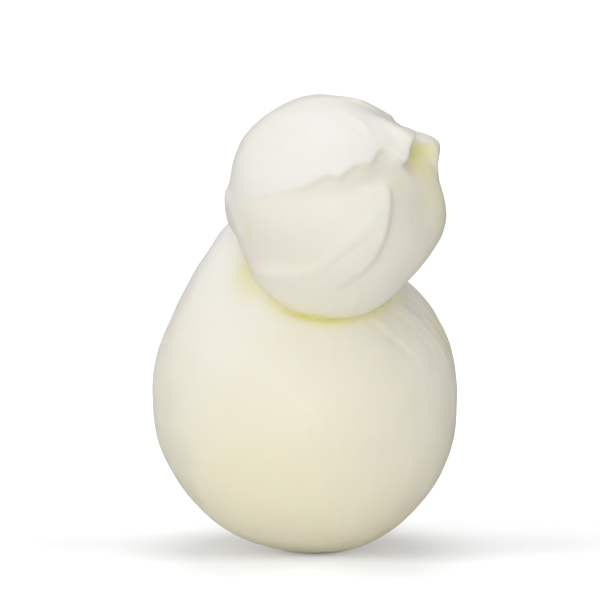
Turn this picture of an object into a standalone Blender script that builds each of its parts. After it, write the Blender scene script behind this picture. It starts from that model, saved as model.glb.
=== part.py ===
"""A fresh white scamorza, a stretched-curd cheese made in one piece.

The body is a pear-shaped ball that sags onto a small flat spot. Its neck leans to the left and carries the
head, a smaller ball that has flopped forwards and to the right and rests on the body's shoulder. Where the
curd was pinched off, at the head's upper right, folds of skin meet round a small hollow.

+X is to the right, +Y is away from the front, +Z is up. The origin is the centre of the flat spot that the
cheese rests on. Places on the head are given like places on a globe: an azimuth, 0 at the front and positive
to the right, and an elevation above the head's equator, both in degrees.
"""

import math

import bmesh
import bpy
import numpy as np

MM = 0.001

# The body: an ellipsoid, cut flat at the bottom, that runs up into the neck.
BODY_RADIUS = 38.0 * MM
BODY_DEPTH_BELOW = 40.0 * MM
BODY_RISE_ABOVE = 38.2 * MM
REST_SPOT_RADIUS = 10.0 * MM
BODY_CENTRE_Z = BODY_DEPTH_BELOW * math.sqrt(1 - (REST_SPOT_RADIUS / BODY_RADIUS) ** 2)
SHOULDER_ANGLE = 20  # degrees above the body's equator, where the neck begins
# Level rings of the neck: height, radius, and how far the ring's centre leans to +X and to +Y.
NECK_RINGS = (
    (57.5 * MM, 33.5 * MM, -0.4 * MM, 0.2 * MM),
    (62.0 * MM, 31.1 * MM, -0.9 * MM, 0.5 * MM),
    (66.5 * MM, 27.8 * MM, -1.8 * MM, 1.0 * MM),
    (71.0 * MM, 23.7 * MM, -3.3 * MM, 1.2 * MM),
    (76.0 * MM, 18.6 * MM, -5.1 * MM, 1.0 * MM),
    (81.0 * MM, 14.2 * MM, -6.2 * MM, -0.5 * MM),
    (87.0 * MM, 10.5 * MM, -4.5 * MM, -4.5 * MM),
    (92.0 * MM, 5.0 * MM, -3.0 * MM, -8.0 * MM),
    (93.5 * MM, 0.0 * MM, -2.0 * MM, -9.5 * MM),
)

# Swellings of the body: place, height and spread. The web joins the neck to the head's lower left.
BODY_SWELLINGS = (
    (-10.0 * MM, -25.0 * MM, 70.0 * MM, 2.5 * MM, 7.0 * MM),
)

# The head: an ellipsoid that folds, swellings and dents are embossed on.
HEAD_CENTRE = (7.6 * MM, -21.0 * MM, 88.1 * MM)
HEAD_RADII = (26.1 * MM, 25.6 * MM, 26.2 * MM)
HEAD_MEAN_RADIUS = sum(HEAD_RADII) / 3

# Folds of the head's skin. Each row is an azimuth, an elevation, and there the height of the step and the depth
# of the recess below it. The skin is high on the left of the direction in which the rows run.
CAP_RIM = (
    (-58, 2.0, 0.0 * MM, 0.0 * MM),
    (-42, 6.0, 0.3 * MM, 0.0 * MM),
    (-30, 9.8, 0.6 * MM, 0.1 * MM),
    (-18, 14.6, 1.0 * MM, 0.3 * MM),
    (-11, 19.0, 1.2 * MM, 0.4 * MM),
    (-5.5, 20.8, 1.3 * MM, 0.4 * MM),
    (0, 20.5, 1.3 * MM, 0.4 * MM),
    (7, 24.0, 1.4 * MM, 0.4 * MM),
    (15, 24.6, 1.5 * MM, 0.4 * MM),
    (20, 28.5, 1.5 * MM, 0.5 * MM),
    (26, 31.6, 1.6 * MM, 0.6 * MM),
    (33, 31.4, 1.7 * MM, 0.6 * MM),
    (37, 27.8, 1.9 * MM, 0.6 * MM),
    (42, 27.2, 2.1 * MM, 0.6 * MM),
    (47, 30.0, 2.3 * MM, 0.8 * MM),
    (53, 34.8, 2.3 * MM, 1.0 * MM),
    (63, 39.5, 2.1 * MM, 1.2 * MM),
    (73, 44.0, 1.6 * MM, 1.0 * MM),
    (87, 49.5, 0.7 * MM, 0.4 * MM),
    (104, 54.0, 0.0 * MM, 0.0 * MM),
)
FRONT_LOBE_RIDGE = (
    (-2, -43, 0.0 * MM, 0.0 * MM),
    (9, -35.5, 0.5 * MM, 0.1 * MM),
    (17.5, -25.7, 0.8 * MM, 0.3 * MM),
    (22, -17.6, 1.0 * MM, 0.4 * MM),
    (25.2, -7.5, 1.1 * MM, 0.4 * MM),
    (26.8, 1.3, 1.2 * MM, 0.4 * MM),
    (27.5, 9.0, 1.2 * MM, 0.4 * MM),
    (26.5, 14.0, 1.1 * MM, 0.4 * MM),
    (22, 15.5, 0.9 * MM, 0.2 * MM),
    (14, 14.5, 0.7 * MM, 0.1 * MM),
    (4, 12.8, 0.6 * MM, 0.1 * MM),
    (-7, 13.5, 0.4 * MM, 0.0 * MM),
    (-20, 13.0, 0.0 * MM, 0.0 * MM),
)
HOOD_EDGE = (
    (90, 46.0, 0.0 * MM, 0.0 * MM),
    (82, 41.5, 1.2 * MM, 0.2 * MM),
    (75, 38.0, 2.4 * MM, 0.8 * MM),
    (73, 34.0, 3.0 * MM, 1.2 * MM),
    (75, 29.5, 2.8 * MM, 1.0 * MM),
    (78, 24.0, 1.4 * MM, 0.4 * MM),
    (81, 15.0, 0.0 * MM, 0.0 * MM),
)
BACK_ROLL_EDGE = (
    (0, 80.0, 0.0 * MM, 0.0 * MM),
    (25, 74.0, 0.5 * MM, 0.3 * MM),
    (52, 69.0, 0.8 * MM, 0.4 * MM),
    (78, 63.6, 1.0 * MM, 0.4 * MM),
    (100, 57.0, 0.9 * MM, 0.3 * MM),
    (125, 52.0, 0.0 * MM, 0.0 * MM),
)
LEFT_ROLL_EDGE = (
    (-58, -20, 0.0 * MM, 0.0 * MM),
    (-63, -12, 0.2 * MM, 0.2 * MM),
    (-68, -4, 0.4 * MM, 0.3 * MM),
    (-75, 4, 0.8 * MM, 0.3 * MM),
    (-85, 8, 1.1 * MM, 0.3 * MM),
    (-98, 9, 0.9 * MM, 0.2 * MM),
    (-112, 8, 0.0 * MM, 0.0 * MM),
)
LEDGE_EDGE = (
    (12, -12, 0.0 * MM, 0.0 * MM),
    (6, -19, 0.2 * MM, 0.1 * MM),
    (-3, -24, 0.3 * MM, 0.3 * MM),
    (-14, -29, 0.5 * MM, 0.5 * MM),
    (-28, -31, 0.8 * MM, 0.8 * MM),
    (-44, -31, 1.0 * MM, 1.0 * MM),
    (-60, -32, 0.8 * MM, 0.8 * MM),
    (-78, -34, 0.0 * MM, 0.0 * MM),
)
# The long hollow between the cap's rim and the front lobe: azimuth, elevation and depth.
BROW = (
    (-30, 11.0, 0.0 * MM, 0.0 * MM),
    (-16, 14.0, -0.4 * MM, 0.0 * MM),
    (-6, 16.8, -0.9 * MM, 0.0 * MM),
    (4, 17.4, -1.1 * MM, 0.0 * MM),
    (14, 19.5, -1.2 * MM, 0.0 * MM),
    (25, 22.5, -1.3 * MM, 0.0 * MM),
    (35, 22.5, -1.0 * MM, 0.0 * MM),
    (46, 21.0, 0.0 * MM, 0.0 * MM),
)

# Swellings and dents of the head: azimuth, elevation, height (negative for a dent) and spread in degrees.
HEAD_SWELLINGS = (
    (-90, 46, 2.0 * MM, 30),
    (20, 80, -0.3 * MM, 20),
    (72, 62, -0.5 * MM, 12),
    (84, 52, -2.4 * MM, 20),
    (90, 40, 3.2 * MM, 13),
    (90, 10, -1.2 * MM, 14),
    (-90, -29, -1.5 * MM, 15),
    (-90, -75, 1.0 * MM, 24),
    (90, -40, -1.3 * MM, 20),
    (54, 30, -1.2 * MM, 10),
    (-56, -7, -0.5 * MM, 5),
    (10, -5, 0.6 * MM, 20),
)

# Each fold: its route, how wide its edge is, how far it blends on the high and on the low side, and how far
# the edge leans over the recess, as a share of its height.
HEAD_FOLDS = (
    (CAP_RIM, 0.8 * MM, 10 * MM, 2.5 * MM, 0.3),
    (FRONT_LOBE_RIDGE, 1.0 * MM, 12 * MM, 2.5 * MM, 0.2),
    (HOOD_EDGE, 0.8 * MM, 10 * MM, 2.5 * MM, 0.3),
    (BACK_ROLL_EDGE, 0.7 * MM, 9 * MM, 2.0 * MM, 0.2),
    (LEFT_ROLL_EDGE, 0.8 * MM, 9 * MM, 2.5 * MM, 0.2),
    (LEDGE_EDGE, 1.8 * MM, 6 * MM, 4.0 * MM, 0.0),
)
BROW_HALF_WIDTH = 2.2 * MM
SKIN_FADE = 6.0 * MM  # how far off the plain head the folds fade out

# The waist between neck and head is soft on this side, and hardens to a plain contact line on the other.
WAIST_CENTRE = (2.2 * MM, -12.4 * MM, 74.6 * MM)
WAIST_AXIS = (0.31, -0.54, 0.79)  # from the body towards the head
WAIST_HALF_WIDTH = 7.0 * MM
WAIST_SOFT_SIDE = (-0.8, 0.6, 0.0)
WAIST_FADE = 6.0 * MM
WAIST_SOFTENING = 120 * MM * MM

# How the skin is made.
FORM_FINENESS = 7  # icosphere subdivisions of each form
SKIN_VOXEL = 0.8 * MM
SKIN_SHARE_KEPT = 0.092  # of the skin's triangles
CHEESE_COLOUR = (0.84, 0.80, 0.67)


def smooth_path(rows, samples):
    """Points along a Catmull-Rom curve through the rows."""
    rows = np.array(rows, float)
    rows = np.vstack([2 * rows[0] - rows[1], rows, 2 * rows[-1] - rows[-2]])
    t = np.linspace(0, len(rows) - 3, samples)
    k = np.minimum(t.astype(int), len(rows) - 4)
    u = (t - k)[:, None]
    a, b, c, d = rows[k], rows[k + 1], rows[k + 2], rows[k + 3]
    return 0.5 * (2 * b + (c - a) * u + (2 * a - 5 * b + 4 * c - d) * u**2 + (3 * b - a - 3 * c + d) * u**3)


def direction(azimuth, elevation):
    """Unit vectors from azimuths and elevations in degrees."""
    az, el = np.radians(azimuth), np.radians(elevation)
    return np.stack([np.sin(az) * np.cos(el), -np.cos(az) * np.cos(el), np.sin(el)], axis=-1)


def globe(name, fineness, place):
    """A closed mesh made from an icosphere, each vertex moved by place."""
    made = bmesh.new()
    bmesh.ops.create_icosphere(made, subdivisions=fineness, radius=1)
    mesh = bpy.data.meshes.new(name)
    made.to_mesh(mesh)
    made.free()
    unit = np.empty(len(mesh.vertices) * 3)
    mesh.vertices.foreach_get("co", unit)
    unit = unit.reshape(-1, 3)
    unit /= np.linalg.norm(unit, axis=1)[:, None]
    mesh.vertices.foreach_set("co", place(unit).ravel())
    return new_object(name, mesh)


def body_rings():
    """The rings of the body and neck, from the bottom up: height, radius, lean to +X and to +Y."""
    ball = []
    for degrees in range(-90, SHOULDER_ANGLE + 1, 10):
        angle = math.radians(degrees)
        reach = BODY_DEPTH_BELOW if degrees < 0 else BODY_RISE_ABOVE
        ball.append((BODY_CENTRE_Z + reach * math.sin(angle), BODY_RADIUS * math.cos(angle), 0, 0))
    return ball + list(NECK_RINGS)


def place_on_body(unit):
    """Points of the body for unit directions: each level of the globe becomes one of the body's rings."""
    rings = smooth_path(body_rings(), 400)
    level = np.arccos(np.clip(-unit[:, 2], -1, 1)) / math.pi * (len(rings) - 1)
    ring = np.stack([np.interp(level, np.arange(len(rings)), rings[:, i]) for i in range(4)], axis=-1)
    around = unit[:, :2] / np.maximum(np.hypot(unit[:, 0], unit[:, 1]), 1e-9)[:, None]
    points = np.column_stack([ring[:, 2:4] + ring[:, 1:2] * around, ring[:, 0]])
    for x, y, z, height, spread in BODY_SWELLINGS:
        away = np.linalg.norm(points - (x, y, z), axis=1)
        points[:, :2] += around * (height * np.exp(-((away / spread) ** 2)))[:, None]
    return points


def along_route(unit, rows):
    """How each unit direction lies to a route over the head: how far to the left, how far away, the direction
    to the left, and the route's step height and recess depth. The route's nearby spots share the say, and more
    of them do so further away, which keeps the skin smooth where two stretches of it are equally near."""
    route = smooth_path(rows, 7 * len(rows))
    spots = direction(route[:, 0], route[:, 1])
    sides = np.cross(spots, np.gradient(spots, axis=0))
    sides /= np.linalg.norm(sides, axis=1)[:, None]
    distance = HEAD_MEAN_RADIUS * np.sqrt(np.maximum(2 - 2 * unit @ spots.T, 0))
    nearest = distance.min(axis=1)[:, None]
    reach = 0.4 * MM + 0.3 * nearest
    share = np.exp((nearest**2 - distance**2) / (2 * reach**2))
    share /= share.sum(axis=1)[:, None]
    leftward = HEAD_MEAN_RADIUS * np.sum(share * (unit @ sides.T), axis=1)
    return leftward, np.sum(share * distance, axis=1), share @ sides, share @ route[:, 2], share @ route[:, 3]


def fold(unit, rows, edge, blend_high, blend_low, overhang):
    """How far a fold moves the skin outwards, and along the surface over the recess."""
    leftward, distance, left, height, recess = along_route(unit, rows)
    step = 0.5 * (1 + np.tanh(leftward / edge))
    up = height * step * np.exp(-distance / blend_high)
    low = np.maximum(-leftward, 0) / blend_low
    down = recess * low * np.exp(1 - low) * np.exp(-distance / (6 * blend_low))
    shift = -overhang * height * np.tanh(leftward / edge) * np.exp(-((distance / (3 * edge)) ** 2))
    return up - down, left * shift[:, None]


def swelling(unit, azimuth, elevation, height, spread):
    """A round swelling of the skin, or a dent."""
    angle = np.degrees(np.arccos(np.clip(unit @ direction(azimuth, elevation), -1, 1)))
    return height * np.exp(-((angle / spread) ** 2))


def head_skin(unit):
    """How far the folds, swellings and dents of the head move its skin: outwards, and along the surface."""
    outward = np.zeros(len(unit))
    sideways = np.zeros_like(unit)
    for rows, edge, blend_high, blend_low, overhang in HEAD_FOLDS:
        up, along = fold(unit, rows, edge, blend_high, blend_low, overhang)
        outward += up
        sideways += along
    _, distance, _, height, _ = along_route(unit, BROW)
    outward += height * np.exp(-((distance / BROW_HALF_WIDTH) ** 2))
    for row in HEAD_SWELLINGS:
        outward += swelling(unit, *row)
    return outward, sideways


def place_on_head(unit):
    """Points of the plain head for unit directions."""
    return np.array(HEAD_CENTRE) + unit * np.array(HEAD_RADII)


def new_object(name, mesh):
    obj = bpy.data.objects.new(name, mesh)
    bpy.context.collection.objects.link(obj)
    return obj


def applied(obj):
    """Replaces the object's mesh with what its modifiers make of it."""
    seen = obj.evaluated_get(bpy.context.evaluated_depsgraph_get())
    mesh = bpy.data.meshes.new_from_object(seen)
    obj.modifiers.clear()
    obj.data = mesh
    return mesh


def points_of(mesh):
    points = np.empty(len(mesh.vertices) * 3)
    mesh.vertices.foreach_get("co", points)
    return points.reshape(-1, 3)


def fuse(name, fineness, voxel):
    """The plain body and head under one closed skin, with a waist that is soft on one side only."""
    whole = bmesh.new()
    for form in (globe("body", fineness, place_on_body), globe("head", fineness, place_on_head)):
        whole.from_mesh(form.data)
        bpy.data.objects.remove(form)
    mesh = bpy.data.meshes.new(name)
    whole.to_mesh(mesh)
    whole.free()
    obj = new_object(name, mesh)
    skin = obj.modifiers.new("one skin", "REMESH")
    skin.mode = "VOXEL"
    skin.voxel_size = voxel
    points = points_of(applied(obj))
    waist = obj.vertex_groups.new(name="waist")
    along_axis = (points - WAIST_CENTRE) @ WAIST_AXIS
    near = np.exp(-((along_axis / WAIST_HALF_WIDTH) ** 2))
    towards_soft = (points - HEAD_CENTRE) @ WAIST_SOFT_SIDE
    share = near * np.clip(towards_soft / WAIST_FADE + 0.2, 0, 1)
    tenths = np.round(share * 10).astype(int)
    for tenth in range(1, 11):
        waist.add(np.flatnonzero(tenths == tenth).tolist(), tenth / 10, "REPLACE")
    soft = obj.modifiers.new("soft waist", "SMOOTH")
    soft.factor = 0.5
    soft.iterations = round(WAIST_SOFTENING / voxel**2)
    soft.vertex_group = waist.name
    applied(obj)
    return obj


def emboss_head(obj):
    """Gives the head's part of the skin its folds, swellings and dents."""
    points = points_of(obj.data)
    from_centre = (points - HEAD_CENTRE) / HEAD_RADII
    distance = np.linalg.norm(from_centre, axis=1)
    unit = from_centre / distance[:, None]
    outward, sideways = head_skin(unit)
    share = np.clip(1 - (distance - 1) * HEAD_MEAN_RADIUS / SKIN_FADE, 0, 1)[:, None]
    points += share * (unit * outward[:, None] + sideways)
    obj.data.vertices.foreach_set("co", points.ravel())
    obj.data.shade_smooth()


def cut_rest_spot(obj):
    """Cuts the sagging bottom off at the level it rests on."""
    made = bmesh.new()
    bmesh.ops.create_cube(made, size=BODY_RADIUS)
    mesh = bpy.data.meshes.new("floor_cutter")
    made.to_mesh(mesh)
    made.free()
    cutter = new_object("floor_cutter", mesh)
    cutter.location.z = -BODY_RADIUS / 2
    cutter.display_type = "WIRE"
    cutter.hide_render = True
    flat = obj.modifiers.new("rest spot", "BOOLEAN")
    flat.operation = "DIFFERENCE"
    flat.solver = "EXACT"
    flat.object = cutter


def cheese_material():
    material = bpy.data.materials.new("white_curd")
    material.use_nodes = True
    shader = material.node_tree.nodes["Principled BSDF"]
    shader.inputs["Base Color"].default_value = (*CHEESE_COLOUR, 1)
    shader.inputs["Roughness"].default_value = 0.45
    shader.inputs["Metallic"].default_value = 0
    return material


def main():
    for obj in list(bpy.data.objects):
        bpy.data.objects.remove(obj)
    cheese = fuse("scamorza", FORM_FINENESS, SKIN_VOXEL)
    emboss_head(cheese)
    fewer = cheese.modifiers.new("fewer faces", "DECIMATE")
    fewer.ratio = SKIN_SHARE_KEPT
    cut_rest_spot(cheese)
    cheese.data.materials.append(cheese_material())


if __name__ == "__main__":
    main()
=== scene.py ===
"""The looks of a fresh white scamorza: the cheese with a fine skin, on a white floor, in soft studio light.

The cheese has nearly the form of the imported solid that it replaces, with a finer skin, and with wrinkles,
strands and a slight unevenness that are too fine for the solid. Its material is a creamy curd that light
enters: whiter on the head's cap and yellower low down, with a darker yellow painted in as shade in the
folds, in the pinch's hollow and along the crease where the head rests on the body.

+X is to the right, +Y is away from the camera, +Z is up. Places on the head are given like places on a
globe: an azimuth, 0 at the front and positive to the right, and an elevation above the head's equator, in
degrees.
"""

import math

import bmesh
import bpy
import numpy as np
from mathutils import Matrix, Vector
from mathutils.bvhtree import BVHTree


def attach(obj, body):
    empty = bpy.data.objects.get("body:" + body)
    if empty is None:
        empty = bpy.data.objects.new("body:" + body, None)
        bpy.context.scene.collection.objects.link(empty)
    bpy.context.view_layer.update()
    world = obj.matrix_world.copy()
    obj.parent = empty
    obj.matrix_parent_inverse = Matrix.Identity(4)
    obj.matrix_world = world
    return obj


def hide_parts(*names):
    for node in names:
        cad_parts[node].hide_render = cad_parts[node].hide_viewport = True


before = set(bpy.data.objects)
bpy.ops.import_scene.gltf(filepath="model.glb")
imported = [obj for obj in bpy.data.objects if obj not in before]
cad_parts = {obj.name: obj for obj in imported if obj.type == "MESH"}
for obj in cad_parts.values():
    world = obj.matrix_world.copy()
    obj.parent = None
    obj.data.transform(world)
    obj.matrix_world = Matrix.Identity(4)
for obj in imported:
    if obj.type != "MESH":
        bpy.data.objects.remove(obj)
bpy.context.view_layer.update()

MM = 0.001

# ---------------------------------------------------------------------------------------- the form
# The body: nearly an ellipsoid, cut flat at the bottom, that runs up into the neck.
BODY_RADIUS = 38.25 * MM
BODY_DEPTH_BELOW = 39.3 * MM
BODY_RISE_ABOVE = 38.2 * MM
BODY_FULLNESS = 2.08  # the exponent of its outline, 2 for an ellipse
REST_SPOT_RADIUS = 7.0 * MM
REST_SPOT_LEVEL = (1 - (REST_SPOT_RADIUS / BODY_RADIUS) ** BODY_FULLNESS) ** (1 / BODY_FULLNESS)
BODY_CENTRE_Z = BODY_DEPTH_BELOW * REST_SPOT_LEVEL
SHOULDER_ANGLE = 20  # degrees above the body's equator, where the neck begins
RING_STEP = 10  # degrees from ring to ring of the body
RING_SAMPLES = 400  # levels that the rings are smoothed to
# How far the body sags to +X, by height.
BODY_SAG = (
    (0.0 * MM, 2.4 * MM),
    (3.0 * MM, 1.8 * MM),
    (7.0 * MM, 1.5 * MM),
    (12.5 * MM, 0.7 * MM),
    (20.0 * MM, 0.4 * MM),
    (42.0 * MM, 0.25 * MM),
    (52.0 * MM, 0.0 * MM),
)
# Level rings of the neck: height, radius, and how far the ring's centre leans to +X and to +Y.
NECK_RINGS = (
    (57.5 * MM, 33.8 * MM, -0.3 * MM, 0.2 * MM),
    (62.0 * MM, 31.6 * MM, -0.7 * MM, 0.5 * MM),
    (66.5 * MM, 28.3 * MM, -1.6 * MM, 1.0 * MM),
    (71.0 * MM, 24.1 * MM, -3.2 * MM, 1.2 * MM),
    (76.0 * MM, 18.6 * MM, -5.1 * MM, 1.0 * MM),
    (81.0 * MM, 14.2 * MM, -6.2 * MM, -0.5 * MM),
    (87.0 * MM, 10.5 * MM, -4.5 * MM, -4.5 * MM),
    (92.0 * MM, 5.0 * MM, -3.0 * MM, -8.0 * MM),
    (93.5 * MM, 0.0 * MM, -2.0 * MM, -9.5 * MM),
)

# Swellings of the body: place, height and spread. The web joins the neck to the head's lower left.
BODY_SWELLINGS = (
    (-10.0 * MM, -25.0 * MM, 70.0 * MM, 2.5 * MM, 7.0 * MM),
)

# The head: an ellipsoid that folds, swellings and dents are embossed on.
HEAD_CENTRE = (7.6 * MM, -21.0 * MM, 88.1 * MM)
HEAD_RADII = (26.1 * MM, 25.6 * MM, 26.2 * MM)
HEAD_MEAN_RADIUS = sum(HEAD_RADII) / 3

# Folds of the head's skin. Each row is an azimuth, an elevation, and there the height of the step and the
# depth of the recess below it. The skin is high on the left of the direction in which the rows run.
CAP_RIM = (
    (-58, 4.0, 0.0 * MM, 0.0 * MM),
    (-42, 8.2, 0.3 * MM, 0.0 * MM),
    (-30, 11.2, 0.6 * MM, 0.0 * MM),
    (-18, 13.6, 0.9 * MM, 0.1 * MM),
    (-11, 17.4, 1.1 * MM, 0.3 * MM),
    (-5.5, 19.4, 1.3 * MM, 0.4 * MM),
    (0, 18.6, 1.3 * MM, 0.4 * MM),
    (5, 21.8, 1.4 * MM, 0.4 * MM),
    (10, 24.8, 1.4 * MM, 0.5 * MM),
    (15.5, 25.4, 1.4 * MM, 0.4 * MM),
    (19.5, 26.6, 1.5 * MM, 0.4 * MM),
    (22, 29.6, 1.5 * MM, 0.5 * MM),
    (25, 32.2, 1.6 * MM, 0.6 * MM),
    (29, 33.0, 1.6 * MM, 0.6 * MM),
    (33, 31.4, 1.7 * MM, 0.6 * MM),
    (36.5, 27.8, 1.9 * MM, 0.6 * MM),
    (41.8, 26.4, 2.1 * MM, 0.6 * MM),
    (46.5, 29.5, 2.3 * MM, 0.8 * MM),
    (52.5, 34.5, 2.3 * MM, 1.0 * MM),
    (63, 39.5, 2.1 * MM, 1.2 * MM),
    (73, 44.0, 1.6 * MM, 1.0 * MM),
    (87, 49.5, 0.7 * MM, 0.4 * MM),
    (104, 54.0, 0.0 * MM, 0.0 * MM),
)
FRONT_LOBE_RIDGE = (
    (-12, -42.5, 0.0 * MM, 0.0 * MM),
    (-1, -40, 0.4 * MM, 0.2 * MM),
    (10, -34.5, 0.6 * MM, 0.3 * MM),
    (18.6, -25, 0.9 * MM, 0.3 * MM),
    (23.2, -16, 1.0 * MM, 0.2 * MM),
    (25.8, -7.5, 1.1 * MM, 0.1 * MM),
    (27.4, 1.3, 1.2 * MM, 0.1 * MM),
    (28.2, 9.0, 1.2 * MM, 0.1 * MM),
    (27, 13.8, 1.0 * MM, 0.2 * MM),
    (23, 14.8, 0.7 * MM, 0.2 * MM),
    (16.5, 13.6, 0.5 * MM, 0.1 * MM),
    (6, 11.2, 0.45 * MM, 0.1 * MM),
    (-4.5, 9.2, 0.35 * MM, 0.0 * MM),
    (-14, 8.4, 0.2 * MM, 0.0 * MM),
    (-26, 8.6, 0.0 * MM, 0.0 * MM),
)
HOOD_EDGE = (
    (58, 39.5, 0.0 * MM, 0.0 * MM),
    (65, 38.6, 0.9 * MM, 1.2 * MM),
    (71, 37.6, 1.5 * MM, 2.0 * MM),
    (76, 35.6, 2.0 * MM, 2.2 * MM),
    (79, 32.0, 2.0 * MM, 1.8 * MM),
    (80, 27.5, 1.3 * MM, 1.2 * MM),
    (81, 22.0, 0.6 * MM, 0.4 * MM),
    (82, 14.0, 0.0 * MM, 0.0 * MM),
)
BACK_ROLL_EDGE = (
    (0, 80.0, 0.0 * MM, 0.0 * MM),
    (25, 74.0, 0.5 * MM, 0.3 * MM),
    (52, 69.0, 0.8 * MM, 0.4 * MM),
    (78, 63.6, 1.0 * MM, 0.4 * MM),
    (100, 57.0, 0.9 * MM, 0.3 * MM),
    (125, 52.0, 0.0 * MM, 0.0 * MM),
)
LEFT_ROLL_EDGE = (
    (-58, -20, 0.0 * MM, 0.0 * MM),
    (-63, -12, 0.1 * MM, 0.1 * MM),
    (-68, -4, 0.2 * MM, 0.2 * MM),
    (-75, 4, 0.5 * MM, 0.2 * MM),
    (-85, 8, 1.1 * MM, 0.3 * MM),
    (-98, 9, 0.9 * MM, 0.2 * MM),
    (-112, 8, 0.0 * MM, 0.0 * MM),
)
LEDGE_EDGE = (
    (12, -5, 0.0 * MM, 0.0 * MM),
    (6, -11, 0.2 * MM, 0.0 * MM),
    (-0.5, -17, 0.3 * MM, 0.1 * MM),
    (-8, -23, 0.4 * MM, 0.3 * MM),
    (-17, -28.5, 0.6 * MM, 0.5 * MM),
    (-30, -31.5, 0.9 * MM, 0.8 * MM),
    (-44, -31.5, 1.1 * MM, 1.0 * MM),
    (-58, -31.5, 1.0 * MM, 1.0 * MM),
    (-67, -33, 0.3 * MM, 0.4 * MM),
    (-78, -36, 0.0 * MM, 0.0 * MM),
)
# The long hollow between the cap's rim and the front lobe: azimuth, elevation, and how far it moves the
# skin.
BROW = (
    (-31, 9.5, 0.0 * MM),
    (-19, 10.6, -0.4 * MM),
    (-9, 12.2, -0.75 * MM),
    (0, 14.0, -0.95 * MM),
    (8, 15.8, -1.1 * MM),
    (16, 18.4, -1.2 * MM),
    (25, 21.8, -1.3 * MM),
    (35, 22.3, -1.0 * MM),
    (46, 21.0, 0.0 * MM),
)

# Swellings and dents of the head: azimuth, elevation, height (negative for a dent) and spread in degrees.
HEAD_SWELLINGS = (
    (-90, 46, 2.0 * MM, 30),
    (-20, 76, 0.4 * MM, 16),
    (-90, 52, -0.7 * MM, 12),
    (72, 62, -0.8 * MM, 12),
    (84, 52, -2.4 * MM, 20),
    (90, 36, 2.3 * MM, 12),
    (90, 17, -0.9 * MM, 10),
    (90, -8, 0.5 * MM, 12),
    (-90, -9, 0.5 * MM, 8),
    (-90, -29, -1.7 * MM, 15),
    (-65, -58, 1.4 * MM, 24),
    (5, -69, 0.8 * MM, 22),
    (-100, 76, 0.4 * MM, 10),
    (-90, -75, 1.0 * MM, 24),
    (90, -40, -1.3 * MM, 20),
    (54, 30, -1.2 * MM, 10),
    (-56, -6, -0.25 * MM, 4),
    (53, 2, -2.2 * MM, 19),
    (90, 31, 0.9 * MM, 5),
    (10, -5, 0.6 * MM, 20),
)

CAP_RIM_EDGE = 0.6 * MM
# Each fold: its route, how wide its edge is, how far it blends on the high and on the low side, how far the
# edge leans over the recess, as a share of its height, and how much yellow shade is painted in the recess,
# from 0 to 1.
HEAD_FOLDS = (
    (CAP_RIM, CAP_RIM_EDGE, 10 * MM, 2.5 * MM, 0.3, 0.1),
    (FRONT_LOBE_RIDGE, 1.2 * MM, 12 * MM, 2.5 * MM, 0.1, 0.05),
    (HOOD_EDGE, 0.7 * MM, 5 * MM, 2.5 * MM, 0.3, 0.6),
    (BACK_ROLL_EDGE, 0.7 * MM, 9 * MM, 2.0 * MM, 0.2, 0.1),
    (LEFT_ROLL_EDGE, 1.8 * MM, 9 * MM, 2.5 * MM, 0.0, 0.1),
    (LEDGE_EDGE, 1.2 * MM, 6 * MM, 4.0 * MM, 0.0, 0.0),
)
# The tongue, where the cap's skin above its rim is pulled forwards: azimuth, elevation, how far and spread
# in degrees.
TONGUE = (62, 41, 6.5 * MM, 14)
BROW_HALF_WIDTH = 2.6 * MM
SKIN_FADE = 6.0 * MM  # how far off the plain head the folds fade out
RECESS_REACH = 6  # how far a recess runs out, in blend widths of its low side
LEAN_REACH = 3  # how far the leaning edge reaches, in edge widths
SHADE_REACH = 1.2  # how far the painted shade of a recess reaches, in blend widths of its low side
FULL_SHADE_STEP = 2 * MM  # the height of a step whose recess gets the full painted shade
ROUTE_SAMPLES = 7  # for each row of a route over the head
ROUTE_BLEND = 0.4 * MM  # how wide a stretch of a route has a say right beside it
ROUTE_BLEND_GROWTH = 0.3  # how fast that stretch grows with the distance

# The waist between neck and head is soft on one side, and hardens to a plain contact line on the other.
WAIST_CENTRE = (2.2 * MM, -12.4 * MM, 74.6 * MM)
WAIST_AXIS = (0.31, -0.54, 0.79)  # from the body towards the head
WAIST_HALF_WIDTH = 7.0 * MM
WAIST_SOFT_SIDE = (-0.3, 0.95, 0.0)
WAIST_FADE = 6.0 * MM
WAIST_START = 0.2  # how soft the waist is beside the head's centre, from 0 to 1
WAIST_SOFTENING = 120 * MM * MM  # smoothing passes times the skin's voxel squared
SMOOTHING = 0.5  # how far one pass moves a vertex towards its neighbours
SMOOTHING_LEVELS = 10  # of strength, from vertices that hold still to those that move fully

# How fine the skin is.
FORM_FINENESS = 8  # icosphere subdivisions of each form
SKIN_VOXEL = 0.63 * MM


# ---------------------------------------------------------------------------------------- the fine relief
# Where the curd was pinched off. The strands of the head's skin radiate from it.
PINCH = (70, 36)

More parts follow.
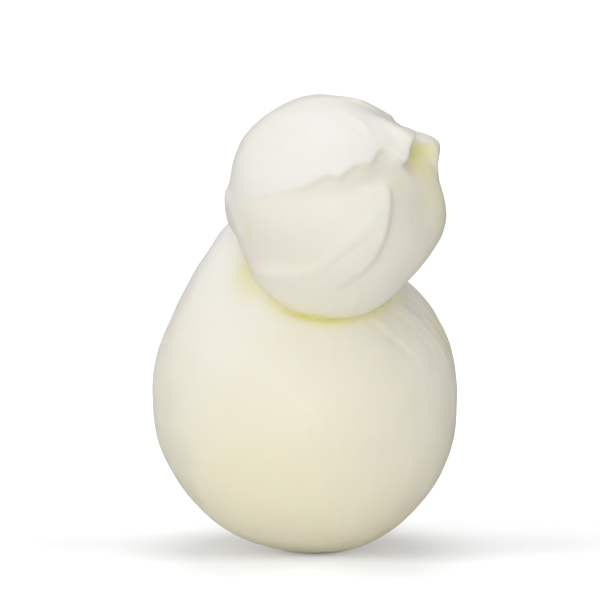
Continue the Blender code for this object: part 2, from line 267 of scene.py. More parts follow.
# Fine wrinkles: a place on the head, and there the height of the ridge (negative for a crease).
HEAD_WRINKLES = (
    ((5, 62, 0.0 * MM), (12.8, 56.3, 0.2 * MM), (18.2, 50.1, 0.26 * MM), (20.9, 43.9, 0.22 * MM),
     (22.4, 39.5, 0.12 * MM), (23, 35, 0.0 * MM)),
    ((0, 56, 0.0 * MM), (8, 50, -0.1 * MM), (13.5, 44.5, -0.14 * MM), (16, 40, -0.1 * MM),
     (18, 35, 0.0 * MM)),
    ((-60, 62, 0.0 * MM), (-43, 70, 0.15 * MM), (-24, 74.3, 0.2 * MM), (9, 73, 0.2 * MM),
     (30, 66, 0.15 * MM), (42, 58, 0.0 * MM)),
    ((19, -7, 0.0 * MM), (14.5, -12.2, -0.2 * MM), (6.4, -18.2, -0.3 * MM), (0.5, -23.4, -0.3 * MM),
     (-5, -29, -0.25 * MM), (-12.5, -34.5, -0.12 * MM), (-19, -38, 0.0 * MM)),
    ((11.5, -34, 0.0 * MM), (13.5, -42, 0.15 * MM), (15.2, -53, 0.2 * MM), (15, -63, 0.0 * MM)),
    ((25.5, 12, 0.0 * MM), (26, 8, 0.2 * MM), (25.2, 1, 0.28 * MM), (23.4, -7.5, 0.28 * MM),
     (20.6, -16, 0.22 * MM), (16, -25, 0.15 * MM), (7, -34, 0.0 * MM)),
)
# Small marks of the head's skin: azimuth, elevation, height (negative for a dent) and spread in degrees.
HEAD_MARKS = (
    (9.7, -33.8, -0.25 * MM, 2.2),
    (-18, -11.8, -0.12 * MM, 2.2),
    (-13.5, -12.4, -0.12 * MM, 1.8),
    (-26.3, 26.6, -0.08 * MM, 1.6),
    (20.9, 9.5, -0.10 * MM, 1.6),
    (-40.9, 7.1, -0.08 * MM, 2.2),
)
# Streaks on the body's shoulder, where the curd was stretched under the head: azimuth round the body, height
# above the floor, and there the height of the ridge (negative for a crease).
BODY_STREAKS = (
    ((24, 64 * MM, 0.0 * MM), (30.6, 60.6 * MM, -0.12 * MM), (36.3, 57.3 * MM, -0.16 * MM),
     (44, 53 * MM, -0.12 * MM), (52, 46 * MM, 0.0 * MM)),
    ((30, 63.5 * MM, 0.0 * MM), (36, 60 * MM, 0.12 * MM), (42, 56.5 * MM, 0.12 * MM),
     (50, 50 * MM, 0.0 * MM)),
    ((38, 65 * MM, 0.0 * MM), (45, 62.5 * MM, -0.12 * MM), (52, 58.8 * MM, -0.14 * MM),
     (59, 52 * MM, -0.10 * MM), (66, 44 * MM, 0.0 * MM)),
    ((50, 65 * MM, 0.0 * MM), (57, 61.5 * MM, 0.10 * MM), (65, 55 * MM, 0.10 * MM),
     (73, 46 * MM, 0.0 * MM)),
    ((66, 66 * MM, 0.0 * MM), (72, 61.5 * MM, -0.12 * MM), (77, 56 * MM, -0.12 * MM),
     (84, 47 * MM, 0.0 * MM)),
)
WRINKLE_HALF_WIDTH = 1.1 * MM
STREAK_HALF_WIDTH = 1.3 * MM
STREAK_SAMPLES = 12  # for each row of a streak
# The groove along the line where the head rests on the body, in front.
CONTACT_GROOVE = 1.2 * MM
CONTACT_WIDTH = 1.0 * MM
CONTACT_REACH = 8 * MM  # only points that are as near as this to the head can be at the contact
CONTACT_BACK = -6 * MM  # the y in front of which the groove begins
CONTACT_FADE = 6 * MM  # how far it takes from there to its full depth
CONTACT_PASSES = 5  # of smoothing
NO_CONTACT = 1.0  # metres, for points that aren't at the contact

# Unevenness of the whole skin: wavelength and depth.
UNEVENNESS = (
    (26.0 * MM, 0.14 * MM),
    (11.0 * MM, 0.05 * MM),
    (4.5 * MM, 0.014 * MM),
)
STRAND_WIDTH = 3.2 * MM
BODY_STRAND_DEPTH = 0.012 * MM
HEAD_STRAND_DEPTH = 0.006 * MM
STRAND_STRETCH = 7.0  # how many times longer than wide the strands are
WAVES_PER_FIELD = 40
SEED = 7
HEAD_TO_BODY = 2 * MM  # how far off the plain head its relief and tint give way to the body's
# Least distances from an axis, which keep divisions safe: for the strands, and for the body's globe.
NEAR_AXIS = 1e-4
NEAR_POLE = 1e-9


# ---------------------------------------------------------------------------------------- the tints and the painted shade
# How far each part of the skin goes from white, 0, to cream, 1.
CREAM_CAP = 0.12
CREAM_LOBE = 0.42
CREAM_RIM_WIDTH = 1.5 * MM  # how soft the change between the two is, at the cap's rim
# The body's cream by height.
CREAM_BODY = (
    (0 * MM, 1.0),
    (15 * MM, 0.95),
    (45 * MM, 0.75),
    (58 * MM, 0.6),
    (66 * MM, 0.35),
    (78 * MM, 0.15),
)
PALE_SIDES = 0.3  # how much whiter the body's left and right sides are
# Spots of the head: azimuth, elevation, how much creamier (negative for whiter) and spread in degrees.
CREAM_SPOTS = (
    (80, 43, -0.15, 9),
    (33, 28, -0.3, 6),
    (72, -2, 0.3, 20),
)
# Patches of the body: place, how much creamier (negative for whiter) and spread.
CREAM_PATCHES = (
    ((-14 * MM, -34 * MM, 24 * MM), 0.2, 14 * MM),
    ((-20 * MM, -28 * MM, 52 * MM), -0.2, 9 * MM),
)

# Where a darker yellow is painted on the head: the first four spots are shade in and around the pinch's
# hollow, under the hood and the tongue, and the last two are small marks at the dimple on the lower left.
# Spots of the head: azimuth, elevation, amount from 0 to 1 and spread in degrees.
HEAD_TINTS = (
    (61, 28, 0.38, 9),
    (64, 35, 0.30, 6),
    (37, 15, 0.20, 4),
    (66, 14, 0.14, 12),
    (-56, -5, 0.12, 3),
    (-55, -12, 0.35, 3),
)
# Shade painted on the body as yellow patches under the head: two in the crease at the neck's left, one on
# the right shoulder. Each: place, amount and spread.
SHADE_PATCHES = (
    ((-11.5 * MM, -23 * MM, 67.5 * MM), 0.30, 4 * MM),
    ((-14.5 * MM, -21 * MM, 72 * MM), 0.30, 3.5 * MM),
    ((34 * MM, -8 * MM, 56 * MM), 0.20, 8 * MM),
)
# Shade painted along the crease where the head rests on the body: a thin dark yellow line low down and a
# wider
# band that runs further up: amounts by height, and how far they reach from the contact line.
CONTACT_SHADE_LINES = (
    (((62 * MM, 1.1), (67 * MM, 0.4), (72 * MM, 0.0)), 0.8 * MM),
    (((62 * MM, 0.45), (72 * MM, 0.45), (78 * MM, 0.15)), 2.6 * MM),
)
# How strong the painted shade along the contact is from left to right: x and a factor.
CONTACT_SHADE_ACROSS = (
    (-9 * MM, 0.5),
    (-6 * MM, 0.65),
    (-1 * MM, 0.95),
    (3.5 * MM, 1.1),
    (8 * MM, 0.85),
    (13 * MM, 0.5),
    (18 * MM, 0.6),
)


# ---------------------------------------------------------------------------------------- the skin
def smooth_path(rows, samples):
    """Points along a Catmull-Rom curve through the rows."""
    rows = np.array(rows, float)
    rows = np.vstack([2 * rows[0] - rows[1], rows, 2 * rows[-1] - rows[-2]])
    t = np.linspace(0, len(rows) - 3, samples)
    k = np.minimum(t.astype(int), len(rows) - 4)
    u = (t - k)[:, None]
    a, b, c, d = rows[k], rows[k + 1], rows[k + 2], rows[k + 3]
    curve = 2 * b + (c - a) * u + (2 * a - 5 * b + 4 * c - d) * u**2 + (3 * b - a - 3 * c + d) * u**3
    return 0.5 * curve


def direction(azimuth, elevation):
    """Unit vectors from azimuths and elevations in degrees."""
    az, el = np.radians(azimuth), np.radians(elevation)
    return np.stack([np.sin(az) * np.cos(el), -np.cos(az) * np.cos(el), np.sin(el)], axis=-1)


def new_object(name, data):
    """An object in the scene with the given mesh, camera or light."""
    obj = bpy.data.objects.new(name, data)
    bpy.context.scene.collection.objects.link(obj)
    return obj


def points_of(mesh):
    """The mesh's vertices as an array."""
    points = np.empty(len(mesh.vertices) * 3)
    mesh.vertices.foreach_get("co", points)
    return points.reshape(-1, 3)


def globe(name, fineness, place):
    """A closed mesh made from an icosphere, each vertex moved by place."""
    made = bmesh.new()
    bmesh.ops.create_icosphere(made, subdivisions=fineness, radius=1)
    mesh = bpy.data.meshes.new(name)
    made.to_mesh(mesh)
    made.free()
    unit = points_of(mesh)
    unit /= np.linalg.norm(unit, axis=1)[:, None]
    mesh.vertices.foreach_set("co", place(unit).ravel())
    return new_object(name, mesh)


def body_rings():
    """The rings of the body and neck, from the bottom up: height, radius, lean to +X and to +Y."""
    ball = []
    for degrees in range(-90, SHOULDER_ANGLE + 1, RING_STEP):
        rise = math.sin(math.radians(degrees))
        height = BODY_CENTRE_Z + rise * (BODY_DEPTH_BELOW if degrees < 0 else BODY_RISE_ABOVE)
        radius = BODY_RADIUS * (1 - abs(rise) ** BODY_FULLNESS) ** (1 / BODY_FULLNESS)
        ball.append((height, radius, np.interp(height, *np.array(BODY_SAG).T), 0))
    return ball + list(NECK_RINGS)


def place_on_body(unit):
    """Points of the body for unit directions: each level of the globe becomes one of the body's rings."""
    rings = smooth_path(body_rings(), RING_SAMPLES)
    level = np.arccos(np.clip(-unit[:, 2], -1, 1)) / math.pi * (len(rings) - 1)
    ring = np.stack([np.interp(level, np.arange(len(rings)), rings[:, i]) for i in range(4)], axis=-1)
    around = unit[:, :2] / np.maximum(np.hypot(unit[:, 0], unit[:, 1]), NEAR_POLE)[:, None]
    points = np.column_stack([ring[:, 2:4] + ring[:, 1:2] * around, ring[:, 0]])
    for x, y, z, height, spread in BODY_SWELLINGS:
        away = np.linalg.norm(points - (x, y, z), axis=1)
        points[:, :2] += around * (height * np.exp(-((away / spread) ** 2)))[:, None]
    return points


def along_route(unit, rows):
    """How each unit direction lies to a route over the head: how far to the left, how far away, the
    direction to the left, and what the route's rows say there, such as a height. The route's nearby spots
    share the say, and more of them do so further away, which keeps the skin smooth where two stretches are
    equally near."""
    route = smooth_path(rows, ROUTE_SAMPLES * len(rows))
    spots = direction(route[:, 0], route[:, 1])
    sides = np.cross(spots, np.gradient(spots, axis=0))
    sides /= np.linalg.norm(sides, axis=1)[:, None]
    distance = HEAD_MEAN_RADIUS * np.sqrt(np.maximum(2 - 2 * unit @ spots.T, 0))
    nearest = distance.min(axis=1)[:, None]
    reach = ROUTE_BLEND + ROUTE_BLEND_GROWTH * nearest
    share = np.exp((nearest**2 - distance**2) / (2 * reach**2))
    share /= share.sum(axis=1)[:, None]
    leftward = HEAD_MEAN_RADIUS * np.sum(share * (unit @ sides.T), axis=1)
    return leftward, np.sum(share * distance, axis=1), share @ sides, share @ route[:, 2:]


def fold(unit, rows, edge, blend_high, blend_low, overhang):
    """How far a fold moves the skin outwards, and along the surface over the recess, and how deep in the
    recess each place is, from 0 to 1, which sets how much shade is painted there."""
    leftward, distance, left, sizes = along_route(unit, rows)
    height, recess = sizes.T
    step = 0.5 * (1 + np.tanh(leftward / edge))
    up = height * step * np.exp(-distance / blend_high)
    low = np.maximum(-leftward, 0) / blend_low
    down = recess * low * np.exp(1 - low) * np.exp(-distance / (RECESS_REACH * blend_low))
    lean = np.exp(-((distance / (LEAN_REACH * edge)) ** 2))
    shift = -overhang * height * np.tanh(leftward / edge) * lean
    shade = (1 - step) * np.exp(-distance / (SHADE_REACH * blend_low)) * height / FULL_SHADE_STEP
    return up - down, left * shift[:, None], np.clip(shade, 0, 1)


def swelling(unit, azimuth, elevation, height, spread):
    """A round swelling of the skin, or a dent."""
    angle = np.degrees(np.arccos(np.clip(unit @ direction(azimuth, elevation), -1, 1)))
    return height * np.exp(-((angle / spread) ** 2))


def wrinkle(unit, rows):
    """How far a fine wrinkle moves the skin outwards."""
    _, distance, _, sizes = along_route(unit, rows)
    return sizes[:, 0] * np.exp(-((distance / WRINKLE_HALF_WIDTH) ** 2))


def above_rim(unit, edge):
    """1 on the cap, above its rim, and 0 below it."""
    return 0.5 * (1 + np.tanh(along_route(unit, CAP_RIM)[0] / edge))


def head_skin(unit):
    """How far the folds, swellings and dents of the head move its skin, outwards and along the surface, and
    how much yellow shade is painted in the folds' recesses."""
    outward = np.zeros(len(unit))
    sideways = np.zeros_like(unit)
    painted_shade = np.zeros(len(unit))
    for rows, edge, blend_high, blend_low, overhang, yellow in HEAD_FOLDS:
        up, along, deep = fold(unit, rows, edge, blend_high, blend_low, overhang)
        outward += up
        sideways += along
        painted_shade = np.maximum(painted_shade, yellow * deep)
    sideways[:, 1] -= swelling(unit, *TONGUE) * above_rim(unit, CAP_RIM_EDGE)
    _, distance, _, sizes = along_route(unit, BROW)
    outward += sizes[:, 0] * np.exp(-((distance / BROW_HALF_WIDTH) ** 2))
    for row in HEAD_SWELLINGS:
        outward += swelling(unit, *row)
    for rows in HEAD_WRINKLES:
        outward += wrinkle(unit, rows)
    for row in HEAD_MARKS:
        outward += swelling(unit, *row)
    return outward, sideways, painted_shade


def place_on_head(unit):
    """Points of the plain head for unit directions."""
    return np.array(HEAD_CENTRE) + unit * np.array(HEAD_RADII)


def applied(obj):
    """Replaces the object's mesh with what its modifiers make of it."""
    seen = obj.evaluated_get(bpy.context.evaluated_depsgraph_get())
    mesh = bpy.data.meshes.new_from_object(seen)
    obj.modifiers.clear()
    obj.data = mesh
    return mesh


def in_front_of_neck(points):
    """1 in front and below the head's middle, where the head rests on the body, and 0 elsewhere."""
    in_front = np.clip((CONTACT_BACK - points[:, 1]) / CONTACT_FADE, 0, 1)
    return in_front * np.clip((HEAD_CENTRE[2] - points[:, 2]) / CONTACT_FADE, 0, 1)


def surface_of(form):
    """A tree that finds the nearest spot on a form's surface."""
    made = bmesh.new()
    made.from_mesh(form.data)
    tree = BVHTree.FromBMesh(made)
    made.free()
    return tree


def contact(points, forms):
    """Where the two forms touch: how far each point is from both, and the direction into the crease between
    them. Points that aren't near the contact in front stay far away."""
    away = np.full(len(points), NO_CONTACT)
    inward = np.zeros_like(points)
    _, off_head = on_head(points)
    trees = [surface_of(form) for form in forms]
    near = (in_front_of_neck(points) > 0) & (np.abs(off_head) < CONTACT_REACH)
    for index in np.flatnonzero(near):
        apart = 0
        outward = Vector()
        for tree in trees:
            _, normal, _, distance = tree.find_nearest(points[index])
            apart = math.hypot(apart, distance)
            outward += normal
        away[index] = apart
        inward[index] = -outward.normalized()
    return away, inward


def soften(obj, share, passes):
    """Smooths the mesh, each vertex by its share from 0 to 1."""
    group = obj.vertex_groups.new(name="soft")
    levels = np.round(share * SMOOTHING_LEVELS).astype(int)
    for level in range(1, SMOOTHING_LEVELS + 1):
        group.add(np.flatnonzero(levels == level).tolist(), level / SMOOTHING_LEVELS, "REPLACE")
    soft = obj.modifiers.new("soft", "SMOOTH")
    soft.factor = SMOOTHING
    soft.iterations = passes
    soft.vertex_group = group.name
    applied(obj)
    obj.vertex_groups.clear()


def one_skin(name, forms):
    """The forms under one closed skin."""
    whole = bmesh.new()
    for form in forms:
        whole.from_mesh(form.data)
    mesh = bpy.data.meshes.new(name)
    whole.to_mesh(mesh)
    whole.free()
    obj = new_object(name, mesh)
    skin = obj.modifiers.new("one skin", "REMESH")
    skin.mode = "VOXEL"
    skin.voxel_size = SKIN_VOXEL
    applied(obj)
    return obj


def soften_waist(obj):
    """Softens the waist between the neck and the head at the back and the left."""
    points = points_of(obj.data)
    along_axis = (points - WAIST_CENTRE) @ WAIST_AXIS
    towards_soft = np.clip((points - HEAD_CENTRE) @ WAIST_SOFT_SIDE / WAIST_FADE + WAIST_START, 0, 1)
    waist = towards_soft * np.exp(-((along_axis / WAIST_HALF_WIDTH) ** 2))
    soften(obj, waist, round(WAIST_SOFTENING / SKIN_VOXEL**2))


def fuse(name):
    """The plain body and head under one closed skin, with a waist that is soft on one side only, and a
    crease that is deepened on the other, with shade painted along it as a yellow line and band."""
    forms = (globe("body", FORM_FINENESS, place_on_body), globe("head", FORM_FINENESS, place_on_head))
    obj = one_skin(name, forms)
    points = points_of(obj.data)
    away, inward = contact(points, forms)
    in_front = in_front_of_neck(points)
    for form in forms:
        bpy.data.objects.remove(form)
    soften_waist(obj)
    groove = in_front * np.exp(-((away / CONTACT_WIDTH) ** 2))
    points = points_of(obj.data) + CONTACT_GROOVE * groove[:, None] * inward
    obj.data.vertices.foreach_set("co", points.ravel())
    soften(obj, groove, CONTACT_PASSES)
    # Shade painted along the crease, stored as the contact attribute.
    painted_shade = np.zeros(len(points))
    for shares, reach in CONTACT_SHADE_LINES:
        painted_shade += np.interp(points[:, 2], *np.array(shares).T) * np.exp(-away / reach)
    painted_shade *= np.interp(points[:, 0], *np.array(CONTACT_SHADE_ACROSS).T)
    keep_attribute(obj, "contact", in_front * painted_shade)
    return obj


def on_head(points):
    """How the points lie to the plain head: their directions, and their distances off its surface."""
    from_centre = (points - HEAD_CENTRE) / HEAD_RADII
    distance = np.linalg.norm(from_centre, axis=1)
    return from_centre / distance[:, None], (distance - 1) * HEAD_MEAN_RADIUS


def uneven_field(places, wavelength, random):
    """A smooth random field of about unit size: many plane waves of one wavelength, each with its own
    direction and start."""
    waves = random.normal(size=(WAVES_PER_FIELD, places.shape[1]))
    waves *= 2 * math.pi / wavelength / np.linalg.norm(waves, axis=1)[:, None]
    starts = random.uniform(0, 2 * math.pi, WAVES_PER_FIELD)
    return np.sin(places @ waves.T + starts).sum(axis=1) * math.sqrt(2 / WAVES_PER_FIELD)


def strand_places(points):
    """Coordinates in which the strands of the stretched curd run straight along the last axis: from the top
    to the bottom on the body, and away from the pinch on the head."""
    around = points[:, :2] / np.maximum(np.hypot(points[:, 0], points[:, 1]), NEAR_AXIS)[:, None]
    on_body = np.column_stack([around * BODY_RADIUS, points[:, 2] / STRAND_STRETCH])
    unit, _ = on_head(points)
    pole = direction(*PINCH)
    sideways = np.cross(pole, (0, 0, 1))
    sideways /= np.linalg.norm(sideways)
    upward = np.cross(sideways, pole)
    turn = np.column_stack([unit @ sideways, unit @ upward])
    turn /= np.maximum(np.linalg.norm(turn, axis=1), NEAR_AXIS)[:, None]
    away = np.arccos(np.clip(unit @ pole, -1, 1)) * HEAD_MEAN_RADIUS
    round_head = np.column_stack([turn * HEAD_MEAN_RADIUS, away / STRAND_STRETCH])
    return on_body, round_head


def streaks_on_body(points):
    """How far the streaks of the body's shoulder move its skin outwards."""
    rings = np.array(body_rings())
    outward = np.zeros(len(points))
    for rows in BODY_STREAKS:
        azimuth, height, ridge = smooth_path(rows, STREAK_SAMPLES * len(rows)).T
        radius, lean_x, lean_y = (np.interp(height, rings[:, 0], rings[:, i]) for i in (1, 2, 3))
        around = direction(azimuth, np.zeros_like(azimuth))
        spots = np.column_stack([lean_x + radius * around[:, 0], lean_y + radius * around[:, 1], height])
        distance = np.linalg.norm(points[:, None] - spots, axis=2)
        nearest = distance.argmin(axis=1)
        outward += ridge[nearest] * np.exp(-((distance.min(axis=1) / STREAK_HALF_WIDTH) ** 2))
    return outward


def emboss(obj):
    """Gives the skin its folds, wrinkles, strands and unevenness, and the attributes that the material
    reads: the shade painted in folds, hollows and creases, and the cream."""
    points = points_of(obj.data)
    unit, off_head = on_head(points)
    outward, sideways, painted_shade = head_skin(unit)
    share = np.clip(1 - off_head / SKIN_FADE, 0, 1)
    points += share[:, None] * (unit * outward[:, None] + sideways)
    obj.data.vertices.foreach_set("co", points.ravel())
    obj.data.update()
    normals = np.empty(len(points) * 3)
    obj.data.vertex_normals.foreach_get("vector", normals)
    random = np.random.default_rng(SEED)
    relief = np.zeros(len(points))
    for wavelength, depth in UNEVENNESS:
        relief += depth * uneven_field(points, wavelength, random)
    on_body, round_head = strand_places(points)
    head_share = np.clip(1 - off_head / HEAD_TO_BODY, 0, 1)
    relief += BODY_STRAND_DEPTH * (1 - head_share) * uneven_field(on_body, STRAND_WIDTH, random)
    relief += HEAD_STRAND_DEPTH * head_share * uneven_field(round_head, STRAND_WIDTH, random)
    relief += (1 - head_share) * streaks_on_body(points)
    points += normals.reshape(-1, 3) * relief[:, None]
    points[:, 2] = np.maximum(points[:, 2], 0)
    obj.data.vertices.foreach_set("co", points.ravel())
    obj.data.shade_smooth()
    # The fold attribute holds the painted shade.
    keep_attribute(obj, "fold", paint_shade(obj, points, unit, head_share, painted_shade))
    keep_attribute(obj, "cream", cream_tint(points, unit, head_share))


def keep_attribute(obj, name, values):
    """Stores a value from 0 to 1 for each vertex under a name."""
    values = np.clip(values, 0, 1).astype(np.float32)
    obj.data.attributes.new(name, "FLOAT", "POINT").data.foreach_set("value", values)


def kept_attribute(obj, name):
    """The values that keep_attribute stored."""
    values = np.empty(len(obj.data.vertices), np.float32)
    obj.data.attributes[name].data.foreach_get("value", values)
    return values


def paint_shade(obj, points, unit, head_share, painted_shade):
    """How much darker yellow is painted on the curd as shade, from 0 to 1: in the recesses below the head's
    folds, in and around the hollow of the pinch, in patches of the body under the head, and along the
    contact between the two. Two small marks at the head's lower left get it too."""
    yellow = kept_attribute(obj, "contact") + head_share * painted_shade
    for row in HEAD_TINTS:
        yellow += head_share * swelling(unit, *row)
    for place, amount, spread in SHADE_PATCHES:
        distance = np.linalg.norm(points - place, axis=1)
        yellow += (1 - head_share) * amount * np.exp(-((distance / spread) ** 2))
    return yellow


def cream_tint(points, unit, head_share):
    """How creamy the curd is, from 0, white, to 1, cream: the cap is the whitest, and the body gets creamier
    from the neck to the bottom."""
    head = CREAM_LOBE + (CREAM_CAP - CREAM_LOBE) * above_rim(unit, CREAM_RIM_WIDTH)
    head += sum(swelling(unit, *row) for row in CREAM_SPOTS)
    body = np.interp(points[:, 2], *np.array(CREAM_BODY).T)
    body -= PALE_SIDES * (points[:, 0] / BODY_RADIUS) ** 2
    for place, amount, spread in CREAM_PATCHES:
        distance = np.linalg.norm(points - place, axis=1)
        body += amount * np.exp(-((distance / spread) ** 2))
    return head_share * head + (1 - head_share) * body


# ---------------------------------------------------------------------------------------- the material
WHITE_CURD = (0.885, 0.875, 0.835, 1)
CREAM_CURD = (0.870, 0.820, 0.625, 1)
# The darker yellow that is painted into folds, hollows and creases as shade.
SHADE_CURD = (0.850, 0.770, 0.190, 1)
MOTTLES = ((55, 0.30), (220, 0.12))  # scale per metre and share of the cream
SKIN_GRAIN = ((420, 0.05 * MM), (1400, 0.018 * MM))  # scale per metre and depth
SKIN_ROUGHNESS = (0.42, 0.58)  # the least and the most
ROUGHNESS_SCALE = 180  # per metre
ROUGHNESS_DETAIL = 4
NOISE_SPREAD = (0.35, 0.65)  # what most of a noise lies between
NOISE_DETAIL = 3
CURD_IOR = 1.45
SUBSURFACE_SHARE = 0.4  # of the light
SUBSURFACE_REACH = 2.5 * MM
SUBSURFACE_COLOURS = (1.0, 0.75, 0.4)  # how far red, green and blue light get, as shares of the reach


def noise_node(nodes, scale, detail):
    """A noise texture; its scale is per metre."""
    noise = nodes.new("ShaderNodeTexNoise")
    noise.inputs["Scale"].default_value = scale
    noise.inputs["Detail"].default_value = detail
    return noise


def curd_material():
    """Creamy curd that light enters, with shade painted into the folds as a darker yellow, with mottles and
    a fine grain.
    """
    material = bpy.data.materials.new("white_curd")
    material.use_nodes = True
    nodes = material.node_tree.nodes
    links = material.node_tree.links
    shader = nodes["Principled BSDF"]
    shader.inputs["Metallic"].default_value = 0
    shader.inputs["IOR"].default_value = CURD_IOR
    shader.inputs["Subsurface Weight"].default_value = SUBSURFACE_SHARE
    shader.inputs["Subsurface Radius"].default_value = SUBSURFACE_COLOURS
    shader.inputs["Subsurface Scale"].default_value = SUBSURFACE_REACH
    place = nodes.new("ShaderNodeTexCoord").outputs["Object"]

    cream = nodes.new("ShaderNodeAttribute")
    cream.attribute_name = "cream"
    amount = cream.outputs["Fac"]
    for scale, share in MOTTLES:
        noise = noise_node(nodes, scale, NOISE_DETAIL)
        links.new(place, noise.inputs["Vector"])
        spread = nodes.new("ShaderNodeMath")
        spread.operation = "MULTIPLY_ADD"
        spread.inputs[1].default_value = share
        spread.inputs[2].default_value = -share / 2
        links.new(noise.outputs["Fac"], spread.inputs[0])
        added = nodes.new("ShaderNodeMath")
        added.operation = "ADD"
        links.new(amount, added.inputs[0])
        links.new(spread.outputs[0], added.inputs[1])
        amount = added.outputs[0]
    curd = nodes.new("ShaderNodeMix")
    curd.data_type = "RGBA"
    curd.inputs["A"].default_value = WHITE_CURD
    curd.inputs["B"].default_value = CREAM_CURD
    links.new(amount, curd.inputs["Factor"])

    # How much painted shade each place gets, read from the fold attribute.
    shade_amount = nodes.new("ShaderNodeAttribute")
    shade_amount.attribute_name = "fold"
    colour = nodes.new("ShaderNodeMix")
    colour.data_type = "RGBA"
    colour.inputs["B"].default_value = SHADE_CURD
    links.new(shade_amount.outputs["Fac"], colour.inputs["Factor"])
    links.new(curd.outputs["Result"], colour.inputs["A"])
    links.new(colour.outputs["Result"], shader.inputs["Base Color"])

    shine = noise_node(nodes, ROUGHNESS_SCALE, ROUGHNESS_DETAIL)
    links.new(place, shine.inputs["Vector"])
    rough = nodes.new("ShaderNodeMapRange")
    rough.inputs["From Min"].default_value = NOISE_SPREAD[0]
    rough.inputs["From Max"].default_value = NOISE_SPREAD[1]
    rough.inputs["To Min"].default_value = SKIN_ROUGHNESS[0]
    rough.inputs["To Max"].default_value = SKIN_ROUGHNESS[1]
    links.new(shine.outputs["Fac"], rough.inputs["Value"])
    links.new(rough.outputs["Result"], shader.inputs["Roughness"])

    normal = None
    for scale, depth in SKIN_GRAIN:
        noise = noise_node(nodes, scale, NOISE_DETAIL)
        links.new(place, noise.inputs["Vector"])
        bump = nodes.new("ShaderNodeBump")
        bump.inputs["Distance"].default_value = depth
        links.new(noise.outputs["Fac"], bump.inputs["Height"])
        if normal:
            links.new(normal, bump.inputs["Normal"])
        normal = bump.outputs["Normal"]
    links.new(normal, shader.inputs["Normal"])
    return material


# ---------------------------------------------------------------------------------------- the studio
PHOTO_SIZE = 600  # pixels
PIXEL = 0.25 * MM  # size of a photo pixel at the cheese
CAMERA_TARGET = (-1.25 * MM, 0, 62.8 * MM)
CAMERA_DISTANCE = 600 * MM
CAMERA_ELEVATION = 7  # degrees
SENSOR_WIDTH = 36  # mm, as the camera counts it
FLOOR_RADIUS = 4.0
FLOOR_GAP = 0.05 * MM  # from the cheese to the floor, and from each disc to the next below it
FLOOR_ROUGHNESS = 0.9
FLOOR_SPECULAR = 0.1
FLOOR_SIDES = 96
PAPER = (0.512, 0.515, 0.520)
SHEET_RADIUS = 0.5
SHEET_WHITENESS = (0.74, 0.74, 0.74)
BLACK = (0, 0, 0)
WALL_RADIUS = 3.9
WALL_SEGMENTS = 64  # around, and half as many up
WALL_GLOW = 1.02
ROOM_LIGHT = (0.485, 1.045)  # from straight to the right to straight to the left
LIGHT_DISTANCE = 1.0
# Lights for the cheese alone: name, azimuth, elevation, size and power.
CHEESE_LIGHTS = (
    ("front", 0, -10, 0.7, 8.8),
    ("top", 0, 89, 0.7, 1.7),
)
# Lights for the floor alone, and one for the sheet: name, azimuth, elevation, angle that it fills in
# degrees, and strength.
FLOOR_LIGHTS = (
    ("left", -70, 12, 20, 6.8),
    ("right", 70, 12, 20, 6.4),
    ("left_back", -110, 12, 20, 3.0),
    ("right_back", 110, 12, 20, 3.15),
    ("back", 180, 70, 40, 1.37),
)
SHEET_LIGHT = ("sheet", 0, 90, 50, 0.64)


def make_camera():
    """The camera, at the photograph's viewing angle."""
    data = bpy.data.cameras.new("camera")
    data.sensor_width = SENSOR_WIDTH
    data.lens = SENSOR_WIDTH * CAMERA_DISTANCE / (PHOTO_SIZE * PIXEL)
    camera = new_object("camera", data)
    back = Vector(direction(0, CAMERA_ELEVATION))
    camera.location = Vector(CAMERA_TARGET) + back * CAMERA_DISTANCE
    camera.rotation_euler = back.to_track_quat("Z", "Y").to_euler()
    bpy.context.scene.camera = camera


def disc(name, radius, depth, colour):
    """A round matt floor, a little below the cheese's flat spot."""
    made = bmesh.new()
    bmesh.ops.create_circle(made, cap_ends=True, segments=FLOOR_SIDES, radius=radius)
    mesh = bpy.data.meshes.new(name)
    made.to_mesh(mesh)
    made.free()
    floor = new_object(name, mesh)
    floor.location.z = -depth
    material = bpy.data.materials.new(name + "_paper")
    material.use_nodes = True
    shader = material.node_tree.nodes["Principled BSDF"]
    shader.inputs["Base Color"].default_value = (*colour, 1)
    shader.inputs["Roughness"].default_value = FLOOR_ROUGHNESS
    shader.inputs["Specular IOR Level"].default_value = FLOOR_SPECULAR
    mesh.materials.append(material)
    return floor


def only_seen(obj):
    """Makes an object that only the camera sees and that light passes."""
    obj.visible_diffuse = False
    obj.visible_glossy = False
    obj.visible_transmission = False
    obj.visible_volume_scatter = False
    obj.visible_shadow = False


def make_floors():
    """The floor that only the camera sees, under it the smaller sheet that throws light up at the cheese,
    and under both a black ground that keeps the room's light from coming from below."""
    seen = disc("floor", FLOOR_RADIUS, FLOOR_GAP, PAPER)
    only_seen(seen)
    sheet = disc("bounce_sheet", SHEET_RADIUS, 2 * FLOOR_GAP, SHEET_WHITENESS)
    sheet.visible_camera = False
    sheet.visible_glossy = False
    ground = disc("dark_ground", FLOOR_RADIUS, 3 * FLOOR_GAP, BLACK)
    ground.visible_camera = False
    return seen, sheet


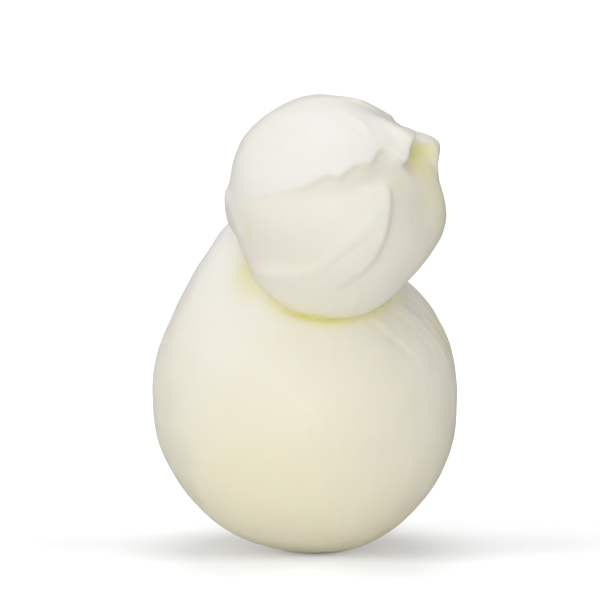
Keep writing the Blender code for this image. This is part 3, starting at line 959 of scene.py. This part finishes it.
def make_backdrop():
    """A white wall far around the cheese, which only the camera sees."""
    made = bmesh.new()
    around, up = WALL_SEGMENTS, WALL_SEGMENTS // 2
    bmesh.ops.create_uvsphere(made, u_segments=around, v_segments=up, radius=WALL_RADIUS)
    mesh = bpy.data.meshes.new("backdrop")
    made.to_mesh(mesh)
    made.free()
    backdrop = new_object("backdrop", mesh)
    material = bpy.data.materials.new("white_wall")
    material.use_nodes = True
    nodes = material.node_tree.nodes
    nodes.remove(nodes["Principled BSDF"])
    glow = nodes.new("ShaderNodeEmission")
    glow.inputs["Strength"].default_value = WALL_GLOW
    surface = nodes["Material Output"].inputs["Surface"]
    material.node_tree.links.new(glow.outputs["Emission"], surface)
    mesh.materials.append(material)
    only_seen(backdrop)


def only_lights(light, name, lit):
    """Makes a light reach one object alone, through a collection of the given name."""
    receivers = bpy.data.collections.new(name)
    receivers.objects.link(lit)
    light.light_linking.receiver_collection = receivers


def area_light(name, azimuth, elevation, size, power):
    """A square soft light that faces the cheese."""
    data = bpy.data.lights.new(name, "AREA")
    data.size = size
    data.energy = power
    light = new_object(name, data)
    away = Vector(direction(azimuth, elevation))
    light.location = Vector(CAMERA_TARGET) + away * LIGHT_DISTANCE
    light.rotation_euler = away.to_track_quat("Z", "Y").to_euler()
    light.visible_camera = False
    return light


def far_light(name, azimuth, elevation, angle, strength):
    """A soft light from far away."""
    data = bpy.data.lights.new(name, "SUN")
    data.angle = math.radians(angle)
    data.energy = strength
    light = new_object(name, data)
    away = Vector(direction(azimuth, elevation))
    light.rotation_euler = away.to_track_quat("Z", "Y").to_euler()
    return light


def make_lights(cheese, floor, sheet):
    """The lights of the cheese, of the floor and of the sheet, on which the cheese throws no shadow."""
    for row in CHEESE_LIGHTS:
        only_lights(area_light(*row), row[0] + "_cheese", cheese)
    for row in FLOOR_LIGHTS:
        only_lights(far_light(*row), row[0] + "_floor", floor)
    light = far_light(*SHEET_LIGHT)
    only_lights(light, "sheet_alone", sheet)
    blockers = bpy.data.collections.new("sheet_shadows")
    blockers.objects.link(floor)
    light.light_linking.blocker_collection = blockers


def make_world():
    """A white room, brighter on the left, that the skin's gloss doesn't mirror."""
    world = bpy.data.worlds.new("white_room")
    world.use_nodes = True
    nodes = world.node_tree.nodes
    links = world.node_tree.links
    nodes["Background"].inputs["Color"].default_value = (1, 1, 1, 1)
    leftward = nodes.new("ShaderNodeVectorMath")
    leftward.operation = "DOT_PRODUCT"
    leftward.inputs[1].default_value = (-1, 0, 0)
    links.new(nodes.new("ShaderNodeTexCoord").outputs["Generated"], leftward.inputs[0])
    glow = nodes.new("ShaderNodeMapRange")
    glow.inputs["From Min"].default_value = -1
    glow.inputs["To Min"].default_value = ROOM_LIGHT[0]
    glow.inputs["To Max"].default_value = ROOM_LIGHT[1]
    links.new(leftward.outputs["Value"], glow.inputs["Value"])
    links.new(glow.outputs["Result"], nodes["Background"].inputs["Strength"])
    world.cycles_visibility.glossy = False
    bpy.context.scene.world = world


def make_cheese():
    """The cheese, which takes the place of the CAD node."""
    cheese = fuse("curd_skin")
    emboss(cheese)
    cheese.data.materials.clear()
    cheese.data.materials.append(curd_material())
    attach(cheese, "root")
    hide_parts("scamorza")
    return cheese


def main():
    """Makes the picture."""
    make_camera()
    floor, sheet = make_floors()
    make_backdrop()
    cheese = make_cheese()
    make_lights(cheese, floor, sheet)
    make_world()
    bpy.context.scene.view_settings.view_transform = "Standard"


main()
